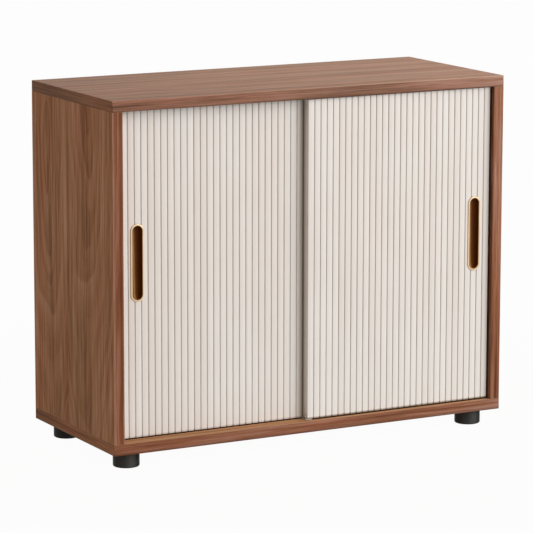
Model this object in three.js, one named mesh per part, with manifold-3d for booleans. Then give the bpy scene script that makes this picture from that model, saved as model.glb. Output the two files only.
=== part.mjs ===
// Sliding door cabinet: a walnut case on four round feet, with two fluted doors that hang from a track
// let into the top board and pass in front of each other.
// Millimetres. X runs to the right, Y from the front to the back, Z up; the origin is on the floor,
// under the middle of the case.

import * as THREE from 'three';
import { mergeVertices } from 'three/addons/utils/BufferGeometryUtils.js';
import Module from 'manifold-3d';

const wasm = await Module();
wasm.setup();

// Case
const caseWidth = 800;
const caseDepth = 338;
const caseHeight = 630;
const topThickness = 20;
const bottomThickness = 20;
const sideThickness = 20;
const seatGap = 0.05;
const cutOverrun = 5;

// Back board, let into grooves
const backThickness = 6;
const backSetIn = 10;
const backGrooveDepth = 7;
const backFit = 0.2;

// Centre divider, housed in the top and bottom boards
const dividerThickness = 16;
const dividerSetBack = 52;
const dividerHousing = 5;
const dividerFit = 0.2;

// Shelves and their steel pegs
const shelfThickness = 16;
const shelfSetBack = 62;
const shelfRise = 280;
const shelfEndGap = 1;
const shelfBackGap = 0.5;
const pegDiameter = 5;
const pegBite = 7;
const pegReach = 8;
const pegChamfer = 0.6;
const pegSetIn = 40;
const pegFit = 0.1;

// Dowels between the sides and the top and bottom boards
const dowelDiameter = 8;
const dowelInBoard = 12;
const dowelInSide = 18;
const dowelChamfer = 1;
const dowelSetIn = 60;
const dowelFit = 0.1;

// Feet
const footDiameter = 48;
const footHeight = 30;
const footInset = 43;
const footEdgeRadius = 2.5;
const footRecessDiameter = 16;
const footRecessDepth = 12;
const footScrewDiameter = 5;
const footScrewHeadDiameter = 11;
const footScrewHeadHeight = 3.5;
const footScrewBite = 14;
const screwFit = 0.1;
const screwTip = 2;

// Doors
const doorThickness = 15;
const doorSetBack = 10;
const doorSpacing = 4;
const doorOverlap = 13;
const doorEndGap = 2.5;
const doorHeadGap = 2.2;
const doorFloorGap = 2.5;
const leftSlatWidth = 13;
const rightSlatWidth = 12.8;
const narrowestSlat = 5;
const fluteWidth = 1.8;
const fluteFloorWidth = 1;
const fluteDepth = 1.8;

// Finger recesses: a brass rim on the door's face, and a cup let into the door behind it
const handleHeight = 140;
const handleWidth = 27;
const handleRimWidth = 4;
const handleRimProud = 1.6;
const handleRimBevel = 0.7;
const handleRise = 314.5;
const leftHandleSetIn = 38;
const rightHandleSetIn = 32;
const cupDepth = 11;
const cupWall = 1.2;
const cupFit = 0.3;

// Track: two channels with lips, let into the underside of the top board
const trackHeight = 12;
const trackWall = 1.6;
const trackRoof = 1.6;
const trackLip = 1.6;
const channelWidth = 13.6;
const channelSlot = 5;
const trackEndGap = 0.3;

// Rollers: two wheels moulded in one piece with the spindle between them
const wheelDiameter = 8;
const wheelWidth = 4.2;
const wheelChamfer = 0.5;
const spindleDiameter = 3;
const wheelSideGap = 0.4;
const rollerRunningGap = 0.05;

// Hangers: a block keyed into the back of the door, with a fin that hooks over the roller's spindle
const finThickness = 3;
const finWidth = 8;
const cradleMouth = 2.6;
const cradleFit = 0.06;
const hangerSetIn = 60;
const hangerNeckWidth = 16;
const hangerNeckHeight = 14;
const hangerBodyWidth = 32;
const hangerBodyHeight = 22;
const hangerFit = 0.2;
const hangerScrewDiameter = 3.5;
const hangerScrewHeadDiameter = 7;
const hangerScrewHeadHeight = 2.4;
const hangerScrewBite = 3;
const hangerScrewTip = 1;

// Floor guide: a plate let into the bottom board, with a fin that stands in each door's lower groove
const guideLength = 12;
const guidePlateThickness = 3.6;
const guideMargin = 3;
const guideFinThickness = 3.6;
const guideFinRise = 8;
const guideFinGap = 0.5;
const guideGrooveDepth = 8;
const guideFit = 0.1;
const guideScrewDiameter = 3.5;
const guideScrewHeadDiameter = 7;
const guideScrewHeadHeight = 1.8;
const guideScrewBite = 12;

// Rubber buffers on the sides
const bufferDiameter = 9;
const bufferThickness = 2;
const bufferSpigotDiameter = 4;
const bufferSpigotLength = 7;
const bufferSetDown = 80;
const bufferFit = 0.1;

// Counts of facets
const footSides = 32;
const wheelSides = 24;
const smallSides = 12;
const cornerSteps = 3;
const pillSteps = 8;

// Places worked out from the sizes above, in the case's own frame: Z is zero under the bottom board
const innerWidth = caseWidth - 2 * sideThickness;
const innerHeight = caseHeight - topThickness - bottomThickness;
const front = -caseDepth / 2;
const back = caseDepth / 2;
const floorTop = bottomThickness;
const roofUnder = bottomThickness + innerHeight;
const backFace = back - backSetIn - backThickness;
const doorHeight = innerHeight - doorHeadGap - doorFloorGap;
const doorWidth = (innerWidth + doorOverlap) / 2 - doorEndGap;
const doorPitch = doorThickness + doorSpacing;
const doorMiddle = doorThickness / 2;
const frontDoorFace = front + doorSetBack;
const rearDoorFace = frontDoorFace + doorPitch;
const trackDepth = doorPitch + channelWidth + 2 * trackWall;
const trackFront = frontDoorFace + doorMiddle - channelWidth / 2 - trackWall;
const spindleRise = doorHeadGap + trackLip + rollerRunningGap + wheelDiameter / 2;
const finFront = doorMiddle - finThickness / 2;
const hangerScrewDrop = hangerNeckHeight + hangerBodyHeight / 2;
const hangerHeadSeat = doorThickness - 2 * hangerScrewHeadHeight;
const hangerPlaces = [['left', hangerSetIn], ['right', doorWidth - hangerSetIn]];
const openingWidth = handleWidth - 2 * handleRimWidth;
const openingHeight = handleHeight - 2 * handleRimWidth;
const guideMiddle = (frontDoorFace + rearDoorFace) / 2 + doorMiddle;
const guideDepth = doorPitch + guideFinThickness + 2 * guideMargin;
const guideFront = guideMiddle - guideDepth / 2;
const guideHeadSeat = -guideScrewHeadHeight - 2 * seatGap;
const compartmentWidth = (innerWidth - dividerThickness) / 2;
const shelfDepth = backFace - shelfBackGap - (front + shelfSetBack);
const shelfUnder = floorTop + shelfRise;

const walnut = { color: 0x74513a, roughness: 0.55, metalness: 0 };
const walnutLining = { color: 0x6e4f3a, roughness: 0.65, metalness: 0 };
const creamLacquer = { color: 0xded7d0, roughness: 0.5, metalness: 0 };
const brass = { color: 0xdeb891, roughness: 0.25, metalness: 1 };
const bronze = { color: 0x3a1c08, roughness: 0.35, metalness: 0.8 };
const blackPlastic = { color: 0x2e2e2d, roughness: 0.45, metalness: 0 };
const greyPlastic = { color: 0x8b8d8e, roughness: 0.5, metalness: 0 };
const whiteAcetal = { color: 0xe6e4de, roughness: 0.35, metalness: 0 };
const aluminium = { color: 0xb9bbbd, roughness: 0.35, metalness: 1 };
const steel = { color: 0xa9abad, roughness: 0.3, metalness: 1 };
const rubber = { color: 0x35332f, roughness: 0.8, metalness: 0 };
const beech = { color: 0xd2ad7f, roughness: 0.7, metalness: 0 };

function solidOf(geometry) {
  const bare = geometry.clone();
  bare.deleteAttribute('normal');
  bare.deleteAttribute('uv');
  const merged = mergeVertices(bare);
  const corners = merged.index.array;
  const kept = [];
  for (let i = 0; i < corners.length; i += 3) {
    const [a, b, c] = [corners[i], corners[i + 1], corners[i + 2]];
    if (a !== b && b !== c && c !== a) kept.push(a, b, c);
  }
  return new wasm.Manifold(new wasm.Mesh({
    numProp: 3,
    vertProperties: Float32Array.from(merged.attributes.position.array),
    triVerts: Uint32Array.from(kept),
  }));
}

function geometryOf(solid) {
  const mesh = solid.getMesh();
  const geometry = new THREE.BufferGeometry();
  geometry.setAttribute('position', new THREE.BufferAttribute(mesh.vertProperties, mesh.numProp));
  geometry.setIndex(new THREE.BufferAttribute(mesh.triVerts, 1));
  geometry.computeVertexNormals();
  return geometry;
}

function cut(geometry, tools) {
  const left = tools.reduce((solid, tool) => solid.subtract(solidOf(tool)), solidOf(geometry));
  return geometryOf(left);
}

function join(geometries) {
  const whole = geometries.map(solidOf).reduce((solid, next) => solid.add(next));
  return geometryOf(whole);
}

// A box between two opposite corners
function block(low, high) {
  const size = new THREE.Vector3().subVectors(high, low);
  const middle = new THREE.Vector3().addVectors(high, low).multiplyScalar(1 / 2);
  return new THREE.BoxGeometry(size.x, size.y, size.z).translate(middle.x, middle.y, middle.z);
}

function at(x, y, z) {
  return new THREE.Vector3(x, y, z);
}

// A shape drawn on X and Z, as seen from the front, made solid from one depth to another
function uprightSolid(shape, from, to) {
  const geometry = new THREE.ExtrudeGeometry(shape, {
    depth: to - from,
    bevelEnabled: false,
    curveSegments: pillSteps,
  });
  return geometry.translate(0, 0, -to).rotateX(Math.PI / 2);
}

// A turned piece: the profile gives radius and distance along the axis, which starts at the origin
function turned(profile, sides, axis) {
  const points = profile.map(([radius, along]) => new THREE.Vector2(radius, along));
  const geometry = geometryOf(solidOf(new THREE.LatheGeometry(points, sides)));
  if (axis === 'x') geometry.rotateZ(-Math.PI / 2);
  if (axis === 'z') geometry.rotateX(Math.PI / 2);
  return geometry;
}

function rod(radius, length, chamfer, axis) {
  const profile = [
    [0, 0],
    [radius - chamfer, 0],
    [radius, chamfer],
    [radius, length - chamfer],
    [radius - chamfer, length],
    [0, length],
  ];
  return turned(profile, smallSides, axis);
}

function hole(radius, length, axis, sides = smallSides) {
  return turned([[0, 0], [radius, 0], [radius, length], [0, length]], sides, axis);
}

// A screw along its axis: the head's flat under face is at the origin, the tip ahead of it
function screw(radius, headRadius, headHeight, length, tip, axis) {
  const profile = [
    [0, -headHeight],
    [headRadius, -headHeight],
    [headRadius, 0],
    [radius, 0],
    [radius, length - tip],
    [radius / 2, length],
    [0, length],
  ];
  return turned(profile, smallSides, axis);
}

function pillShape(width, height, Kind = THREE.Shape) {
  const radius = width / 2;
  const rise = height / 2 - radius;
  const shape = new Kind();
  shape.moveTo(radius, -rise);
  shape.lineTo(radius, rise);
  shape.absarc(0, rise, radius, 0, Math.PI, false);
  shape.lineTo(-radius, -rise);
  shape.absarc(0, -rise, radius, Math.PI, 2 * Math.PI, false);
  return shape;
}

function piece(name, finish, geometry, place = at(0, 0, 0)) {
  const material = new THREE.MeshStandardMaterial({ ...finish, flatShading: true });
  const mesh = new THREE.Mesh(geometry, material);
  mesh.name = name;
  mesh.position.copy(place);
  return mesh;
}

function group(place, children) {
  const holder = new THREE.Group();
  holder.position.copy(place);
  holder.add(...children);
  return holder;
}

const sides = [['left', -1], ['right', 1]];
const ends = [['front', front + dowelSetIn], ['back', back - dowelSetIn]];
const dowelReach = innerWidth / 2 + sideThickness / 2;

// The groove that holds the back board, as one block as large as the board with its fit
function backGroove() {
  const halfWidth = innerWidth / 2 + backGrooveDepth;
  return block(
    at(-halfWidth, backFace - backFit, floorTop - backGrooveDepth),
    at(halfWidth, backFace + backThickness + backFit, roofUnder + backGrooveDepth),
  );
}

// The room that the divider takes, with its housings
function dividerHousingCut() {
  const half = dividerThickness / 2 + dividerFit;
  return block(
    at(-half, front + dividerSetBack - dividerFit, floorTop - dividerHousing),
    at(half, backFace, roofUnder + dividerHousing),
  );
}

function dowelHoles(joint, below, above) {
  const holes = [];
  for (const [, way] of sides) {
    for (const [, y] of ends) {
      const bore = hole(dowelDiameter / 2 + dowelFit, below + above + 2 * dowelFit, 'z');
      holes.push(bore.translate(way * dowelReach, y, joint - below - dowelFit));
    }
  }
  return holes;
}

const footPlaces = [
  ['front_left', -1, front + footInset],
  ['front_right', 1, front + footInset],
  ['back_left', -1, back - footInset],
  ['back_right', 1, back - footInset],
].map(([name, way, y]) => [name, way * (caseWidth / 2 - footInset), y]);

function topBoard() {
  const board = block(
    at(-caseWidth / 2, front, roofUnder + seatGap),
    at(caseWidth / 2, back, caseHeight),
  );
  const trackRecess = block(
    at(-innerWidth / 2, trackFront - seatGap, roofUnder - cutOverrun),
    at(innerWidth / 2, trackFront + trackDepth + seatGap, roofUnder + trackHeight + seatGap),
  );
  return cut(board, [
    trackRecess,
    backGroove(),
    dividerHousingCut(),
    ...dowelHoles(roofUnder, dowelInSide, dowelInBoard),
  ]);
}

function guideRecess() {
  return block(
    at(-guideLength / 2 - guideFit, guideFront - guideFit, floorTop - guidePlateThickness - seatGap),
    at(guideLength / 2 + guideFit, guideFront + guideDepth + guideFit, floorTop + cutOverrun),
  );
}

function bottomBoard() {
  const board = block(at(-caseWidth / 2, front, 0), at(caseWidth / 2, back, floorTop - seatGap));
  const footScrewHoles = footPlaces.map(([, x, y]) => {
    const bore = hole(footScrewDiameter / 2 + screwFit, cutOverrun + footScrewBite + screwFit, 'z');
    return bore.translate(x, y, -cutOverrun);
  });
  const guideScrewHole = hole(guideScrewDiameter / 2 + screwFit, guideScrewBite + cutOverrun, 'z');
  guideScrewHole.translate(0, guideMiddle, floorTop - guidePlateThickness - guideScrewBite - screwFit);
  const tools = [
    backGroove(),
    dividerHousingCut(),
    guideRecess(),
    guideScrewHole,
    ...footScrewHoles,
    ...dowelHoles(floorTop, dowelInBoard, dowelInSide),
  ];
  return cut(board, tools);
}

const pegRows = [
  ['front', front + shelfSetBack + pegSetIn],
  ['back', backFace - shelfBackGap - pegSetIn],
];
const pegHeight = shelfUnder - seatGap - pegDiameter / 2;

// Blind peg holes bored both ways from a face that stands at x
function pegHoles(x) {
  const depth = pegBite + pegFit;
  return pegRows.map(([, y]) => (
    hole(pegDiameter / 2 + pegFit, 2 * depth, 'x').translate(x - depth, y, pegHeight)
  ));
}

const bufferPlaces = [['front', frontDoorFace + doorMiddle], ['rear', rearDoorFace + doorMiddle]];
const bufferHeight = roofUnder - bufferSetDown;

function sideBoard(way) {
  const inner = way * innerWidth / 2;
  const outer = way * caseWidth / 2;
  const board = block(
    at(Math.min(inner, outer), front, floorTop),
    at(Math.max(inner, outer), back, roofUnder),
  );
  const bufferHoles = bufferPlaces.map(([, y]) => {
    const depth = bufferSpigotLength + bufferFit;
    const bore = hole(bufferSpigotDiameter / 2 + bufferFit, 2 * depth, 'x');
    return bore.translate(inner - depth, y, bufferHeight);
  });
  const tools = [
    backGroove(),
    ...pegHoles(inner),
    ...bufferHoles,
    ...dowelHoles(floorTop, dowelInBoard, dowelInSide),
    ...dowelHoles(roofUnder, dowelInSide, dowelInBoard),
  ];
  return cut(board, tools);
}

function backBoard() {
  const halfWidth = innerWidth / 2 + backGrooveDepth - backFit;
  return block(
    at(-halfWidth, backFace, floorTop - backGrooveDepth + backFit),
    at(halfWidth, backFace + backThickness, roofUnder + backGrooveDepth - backFit),
  );
}

function centreDivider() {
  const half = dividerThickness / 2;
  const board = block(
    at(-half, front + dividerSetBack, floorTop - dividerHousing + dividerFit),
    at(half, backFace - backFit, roofUnder + dividerHousing - dividerFit),
  );
  return cut(board, [...pegHoles(-half), ...pegHoles(half)]);
}

function shelf() {
  const width = compartmentWidth - 2 * shelfEndGap;
  return block(at(-width / 2, 0, 0), at(width / 2, shelfDepth, shelfThickness));
}

// A shelf with its four pegs, in the compartment on one side of the divider
function shelfPieces([name, way]) {
  const middle = way * (dividerThickness + compartmentWidth) / 2;
  const pieces = [
    piece(`${name}_shelf`, walnutLining, shelf(), at(middle, front + shelfSetBack, shelfUnder)),
  ];
  for (const [end, endWay] of sides) {
    for (const [row, y] of pegRows) {
      const wall = middle + endWay * compartmentWidth / 2;
      const start = endWay > 0 ? wall - pegReach : wall - pegBite;
      const peg = rod(pegDiameter / 2, pegBite + pegReach, pegChamfer, 'x');
      pieces.push(piece(`${name}_shelf_peg_${row}_${end}`, steel, peg, at(start, y, pegHeight)));
    }
  }
  return pieces;
}

function dowelPieces(level, joint, below, above) {
  return sides.flatMap(([side, way]) => ends.map(([end, y]) => {
    const dowel = rod(dowelDiameter / 2, below + above, dowelChamfer, 'z');
    return piece(`dowel_${level}_${side}_${end}`, beech, dowel, at(way * dowelReach, y, joint - below));
  }));
}

// The foot's profile runs up the rounded outside and back down the screw's hole and recess
function foot() {
  const radius = footDiameter / 2;
  const recessRadius = footRecessDiameter / 2;
  const holeRadius = footScrewDiameter / 2 + screwFit;
  const height = footHeight - seatGap;
  const rounding = [];
  for (let step = 0; step <= cornerSteps; step += 1) {
    const turn = (Math.PI / 2) * (step / cornerSteps);
    const out = radius - footEdgeRadius + footEdgeRadius * Math.sin(turn);
    rounding.push([out, footEdgeRadius - footEdgeRadius * Math.cos(turn)]);
  }
  const profile = [
    [recessRadius, 0],
    ...rounding,
    [radius, height],
    [holeRadius, height],
    [holeRadius, footRecessDepth],
    [recessRadius, footRecessDepth],
    [recessRadius, 0],
  ];
  return turned(profile, footSides, 'z');
}

function footPieces() {
  const length = footHeight - footRecessDepth + footScrewBite;
  return footPlaces.flatMap(([name, x, y]) => [
    piece(`foot_${name}`, blackPlastic, foot(), at(x, y, -footHeight)),
    piece(
      `foot_screw_${name}`,
      steel,
      screw(
        footScrewDiameter / 2,
        footScrewHeadDiameter / 2,
        footScrewHeadHeight,
        length,
        screwTip,
        'z',
      ),
      at(x, y, footRecessDepth - footHeight - seatGap),
    ),
  ]);
}

// The track's section on Y and Z, with one channel over the middle of each door
function doorTrack() {
  const inside = trackHeight - trackRoof;
  const section = new THREE.Shape();
  section.moveTo(0, 0);
  for (const middle of [trackWall + channelWidth / 2, trackWall + channelWidth / 2 + doorPitch]) {
    section.lineTo(middle - channelSlot / 2, 0);
    section.lineTo(middle - channelSlot / 2, trackLip);
    section.lineTo(middle - channelWidth / 2, trackLip);
    section.lineTo(middle - channelWidth / 2, inside);
    section.lineTo(middle + channelWidth / 2, inside);
    section.lineTo(middle + channelWidth / 2, trackLip);
    section.lineTo(middle + channelSlot / 2, trackLip);
    section.lineTo(middle + channelSlot / 2, 0);
  }
  section.lineTo(trackDepth, 0);
  section.lineTo(trackDepth, trackHeight);
  section.lineTo(0, trackHeight);
  const length = innerWidth - 2 * trackEndGap;
  const alongX = new THREE.Matrix4().makeBasis(at(0, 1, 0), at(0, 0, 1), at(1, 0, 0));
  const geometry = new THREE.ExtrudeGeometry(section, { depth: length, bevelEnabled: false });
  return geometry.applyMatrix4(alongX).translate(-length / 2, 0, 0);
}

// The guide stands on the bottom board's upper face at its own zero height
function floorGuide() {
  const half = guideLength / 2;
  const plate = block(at(-half, -guideDepth / 2, -guidePlateThickness), at(half, guideDepth / 2, 0));
  const fins = [-1, 1].map((way) => {
    const middle = way * doorPitch / 2;
    return block(
      at(-half, middle - guideFinThickness / 2, -guidePlateThickness),
      at(half, middle + guideFinThickness / 2, guideFinRise),
    );
  });
  const screwHole = hole(guideScrewDiameter / 2 + screwFit, guidePlateThickness + cutOverrun, 'z');
  const headRecess = hole(guideScrewHeadDiameter / 2 + screwFit, cutOverrun, 'z');
  return cut(join([plate, ...fins]), [
    screwHole.translate(0, 0, -guidePlateThickness - cutOverrun / 2),
    headRecess.translate(0, 0, guideHeadSeat),
  ]);
}

function guidePieces() {
  const length = guidePlateThickness + guideHeadSeat + guideScrewBite;
  const guideScrew = screw(
    guideScrewDiameter / 2,
    guideScrewHeadDiameter / 2,
    guideScrewHeadHeight,
    length,
    screwTip,
    'z',
  ).rotateX(Math.PI);
  return [
    piece('floor_guide', whiteAcetal, floorGuide(), at(0, guideMiddle, floorTop)),
    piece('floor_guide_screw', steel, guideScrew, at(0, guideMiddle, floorTop + guideHeadSeat + seatGap)),
  ];
}

// A disc on the side's inner face, with a spigot in the board; its axis runs toward the doors
function buffer() {
  const profile = [
    [0, -bufferSpigotLength],
    [bufferSpigotDiameter / 2, -bufferSpigotLength],
    [bufferSpigotDiameter / 2, seatGap],
    [bufferDiameter / 2, seatGap],
    [bufferDiameter / 2, bufferThickness],
    [0, bufferThickness],
  ];
  return turned(profile, smallSides, 'x');
}

function bufferPieces() {
  return sides.flatMap(([side, way]) => bufferPlaces.map(([row, y]) => {
    const geometry = way > 0 ? buffer().rotateZ(Math.PI) : buffer();
    return piece(`${side}_side_buffer_${row}`, rubber, geometry, at(way * innerWidth / 2, y, bufferHeight));
  }));
}

// The hanger's outline seen from the front, downward from the door's top edge: a neck, then a wider body
// whose shoulders carry the door; margin widens it for the pocket
function hangerOutline(margin, top) {
  const neck = hangerNeckWidth / 2 + margin;
  const body = hangerBodyWidth / 2 + margin;
  const shoulder = -hangerNeckHeight + margin;
  const bottom = -hangerNeckHeight - hangerBodyHeight - margin;
  return new THREE.Shape([
    [neck, top],
    [-neck, top],
    [-neck, shoulder],
    [-body, shoulder],
    [-body, bottom],
    [body, bottom],
    [body, shoulder],
    [neck, shoulder],
  ].map(([x, z]) => new THREE.Vector2(x, z)));
}

function finShape() {
  const half = finWidth / 2;
  const shape = new THREE.Shape();
  shape.moveTo(-half, -hangerNeckHeight);
  shape.lineTo(half, -hangerNeckHeight);
  shape.lineTo(half, spindleRise);
  shape.absarc(0, spindleRise, half, 0, Math.PI, false);
  return shape;
}

// In the door's depth: Y is zero at the door's front face, Z is zero at its top edge
function hanger() {
  const bed = finFront + seatGap;
  const blockSolid = uprightSolid(hangerOutline(0, 0), bed, doorThickness);
  const fin = uprightSolid(finShape(), bed, finFront + finThickness);
  const spindleHole = hole(spindleDiameter / 2 + cradleFit, doorThickness, 'y', wheelSides);
  const mouth = block(
    at(0, 0, spindleRise - cradleMouth / 2),
    at(finWidth, doorThickness, spindleRise + cradleMouth / 2),
  );
  const screwHole = hole(hangerScrewDiameter / 2 + screwFit, doorThickness, 'y');
  const headRecess = hole(hangerScrewHeadDiameter / 2 + screwFit, doorThickness, 'y');
  return cut(join([blockSolid, fin]), [
    spindleHole.translate(0, 0, spindleRise),
    mouth,
    screwHole.translate(0, 0, -hangerScrewDrop),
    headRecess.translate(0, hangerHeadSeat, -hangerScrewDrop),
  ]);
}

function hangerScrew() {
  return screw(
    hangerScrewDiameter / 2,
    hangerScrewHeadDiameter / 2,
    hangerScrewHeadHeight,
    hangerHeadSeat - finFront + hangerScrewBite,
    hangerScrewTip,
    'y',
  ).rotateX(Math.PI);
}

function roller() {
  const spindle = spindleDiameter / 2;
  const wheel = wheelDiameter / 2;
  const innerFace = finThickness / 2 + wheelSideGap;
  const outerFace = innerFace + wheelWidth;
  return turned([
    [0, -outerFace],
    [wheel - wheelChamfer, -outerFace],
    [wheel, -outerFace + wheelChamfer],
    [wheel, -innerFace - wheelChamfer],
    [wheel - wheelChamfer, -innerFace],
    [spindle, -innerFace],
    [spindle, innerFace],
    [wheel - wheelChamfer, innerFace],
    [wheel, innerFace + wheelChamfer],
    [wheel, outerFace - wheelChamfer],
    [wheel - wheelChamfer, outerFace],
    [0, outerFace],
  ], wheelSides, 'y');
}

function hangerPieces(door, side, x) {
  return group(at(x, 0, doorHeight), [
    piece(`${door}_door_hanger_${side}`, greyPlastic, hanger()),
    piece(
      `${door}_door_hanger_screw_${side}`,
      steel,
      hangerScrew(),
      at(0, hangerHeadSeat + seatGap, -hangerScrewDrop),
    ),
    piece(`${door}_door_roller_${side}`, whiteAcetal, roller(), at(0, doorMiddle, spindleRise)),
  ]);
}

// How far the middles of a door's flutes are from the end where the doors meet. The slats are whole
// from there on, and the last one is as wide as what is left.
function flutePlaces(slatWidth) {
  const count = Math.floor((doorWidth - narrowestSlat) / slatWidth);
  return Array.from({ length: count }, (_, flute) => (flute + 1) * slatWidth);
}

const leftDoorFlutes = flutePlaces(leftSlatWidth).map((place) => doorWidth - place).reverse();
const rightDoorFlutes = flutePlaces(rightSlatWidth);

// The door's section on X and Y: the front face is at zero depth and has a flute between each two slats
function doorSection(flutes) {
  const section = new THREE.Shape();
  section.moveTo(0, 0);
  for (const middle of flutes) {
    section.lineTo(middle - fluteWidth / 2, 0);
    section.lineTo(middle - fluteFloorWidth / 2, fluteDepth);
    section.lineTo(middle + fluteFloorWidth / 2, fluteDepth);
    section.lineTo(middle + fluteWidth / 2, 0);
  }
  section.lineTo(doorWidth, 0);
  section.lineTo(doorWidth, doorThickness);
  section.lineTo(0, doorThickness);
  return section;
}

const cupOutside = 2 * cupWall;
const pocketOutside = cupOutside + 2 * cupFit;

function doorPanel(handleX, flutes) {
  const panel = new THREE.ExtrudeGeometry(doorSection(flutes), { depth: doorHeight, bevelEnabled: false });
  const handlePocket = uprightSolid(
    pillShape(openingWidth + pocketOutside, openingHeight + pocketOutside),
    -cutOverrun,
    cupDepth + cupWall + cupFit,
  ).translate(handleX, 0, handleRise);
  const guideGroove = block(
    at(-cutOverrun, doorMiddle - guideFinThickness / 2 - guideFinGap, -cutOverrun),
    at(doorWidth + cutOverrun, doorMiddle + guideFinThickness / 2 + guideFinGap, guideGrooveDepth),
  );
  const hangerCuts = hangerPlaces.flatMap(([, x]) => {
    const pocket = uprightSolid(hangerOutline(hangerFit, cutOverrun), finFront, doorThickness + cutOverrun);
    const bite = hangerScrewBite + screwFit;
    const screwHole = hole(hangerScrewDiameter / 2 + screwFit, cutOverrun + bite, 'y');
    screwHole.translate(0, finFront - bite, -hangerScrewDrop);
    return [pocket, screwHole].map((tool) => tool.translate(x, 0, doorHeight));
  });
  return cut(panel, [handlePocket, guideGroove, ...hangerCuts]);
}

// A flat ring on the slats with bevelled outer edges toward the front
function handleRim() {
  const outer = pillShape(handleWidth - 2 * handleRimBevel, handleHeight - 2 * handleRimBevel);
  const openingPlus = 2 * handleRimBevel;
  outer.holes.push(pillShape(openingWidth + openingPlus, openingHeight + openingPlus, THREE.Path));
  const geometry = new THREE.ExtrudeGeometry(outer, {
    depth: handleRimProud - seatGap - 2 * handleRimBevel,
    bevelEnabled: true,
    bevelThickness: handleRimBevel,
    bevelSize: handleRimBevel,
    bevelSegments: 1,
    curveSegments: pillSteps,
  });
  return geometry.translate(0, 0, seatGap + handleRimBevel).rotateX(Math.PI / 2);
}

function handleCup() {
  const outline = pillShape(openingWidth + cupOutside, openingHeight + cupOutside);
  const shell = uprightSolid(outline, 0, cupDepth + cupWall);
  const hollow = uprightSolid(pillShape(openingWidth, openingHeight), -cutOverrun, cupDepth);
  return cut(shell, [hollow]);
}

function doorPieces(door, place, handleX, flutes) {
  const handle = group(at(handleX, 0, handleRise), [
    piece(`${door}_door_handle_rim`, brass, handleRim()),
    piece(`${door}_door_handle_cup`, bronze, handleCup()),
  ]);
  return group(place, [
    piece(`${door}_door_panel`, creamLacquer, doorPanel(handleX, flutes)),
    handle,
    ...hangerPlaces.map(([side, x]) => hangerPieces(door, side, x)),
  ]);
}

const doorFoot = floorTop + doorFloorGap;
const leftDoorPlace = at(-innerWidth / 2 + doorEndGap, rearDoorFace, doorFoot);
const rightDoorPlace = at(innerWidth / 2 - doorEndGap - doorWidth, frontDoorFace, doorFoot);

const cabinet = new THREE.Group();
cabinet.add(group(at(0, 0, footHeight), [
  piece('top_board', walnut, topBoard()),
  piece('bottom_board', walnut, bottomBoard()),
  piece('left_side', walnut, sideBoard(-1)),
  piece('right_side', walnut, sideBoard(1)),
  piece('back_board', walnutLining, backBoard()),
  piece('centre_divider', walnutLining, centreDivider()),
  ...sides.flatMap(shelfPieces),
  ...dowelPieces('top', roofUnder, dowelInSide, dowelInBoard),
  ...dowelPieces('bottom', floorTop, dowelInBoard, dowelInSide),
  ...footPieces(),
  piece('door_track', aluminium, doorTrack(), at(0, trackFront, roofUnder)),
  ...guidePieces(),
  ...bufferPieces(),
  doorPieces('left', leftDoorPlace, leftHandleSetIn, leftDoorFlutes),
  doorPieces('right', rightDoorPlace, doorWidth - rightHandleSetIn, rightDoorFlutes),
]));

export default cabinet;
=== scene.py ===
"""Dresses the sliding door cabinet: its finishes, its finer pieces, the studio and the camera."""

import math
from collections import namedtuple

import bmesh
import bpy
from mathutils import Matrix, Vector

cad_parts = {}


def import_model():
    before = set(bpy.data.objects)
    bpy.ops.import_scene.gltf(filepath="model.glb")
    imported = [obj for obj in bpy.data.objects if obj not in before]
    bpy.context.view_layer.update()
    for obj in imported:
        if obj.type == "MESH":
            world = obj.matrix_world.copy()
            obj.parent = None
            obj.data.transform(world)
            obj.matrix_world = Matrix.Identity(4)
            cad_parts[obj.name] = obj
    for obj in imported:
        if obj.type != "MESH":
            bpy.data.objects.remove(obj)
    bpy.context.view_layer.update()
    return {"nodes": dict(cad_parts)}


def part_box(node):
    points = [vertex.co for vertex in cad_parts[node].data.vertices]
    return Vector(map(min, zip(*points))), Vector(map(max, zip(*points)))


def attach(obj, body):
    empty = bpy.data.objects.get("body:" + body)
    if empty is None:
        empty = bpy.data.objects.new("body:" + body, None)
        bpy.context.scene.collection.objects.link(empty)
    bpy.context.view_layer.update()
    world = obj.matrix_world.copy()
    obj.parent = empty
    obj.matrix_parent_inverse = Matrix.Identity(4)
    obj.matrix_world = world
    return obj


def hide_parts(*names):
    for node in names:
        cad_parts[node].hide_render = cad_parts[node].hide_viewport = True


MM = 0.001

SIDES = ("left", "right")
ENDS = ("front", "back")


def measure(node):
    """The low and the high corner of a node's box, and its middle."""
    low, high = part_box(node)
    return low, high, (low + high) / 2


# Sums on sockets, and the nodes of a finish

# A Mix node's sockets where it mixes colours
MIX_SHARE, MIX_FIRST, MIX_SECOND = 0, 6, 7
MIX_RESULT = 2

# A texture is noise: how often it changes in a metre along its three directions, how detailed and
# how rough it is, and a seed that sets it apart from others
Texture = namedtuple("Texture", "first second third detail roughness seed",
                     defaults=(0.0, 2.0, 0.5, 0.0))


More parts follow.
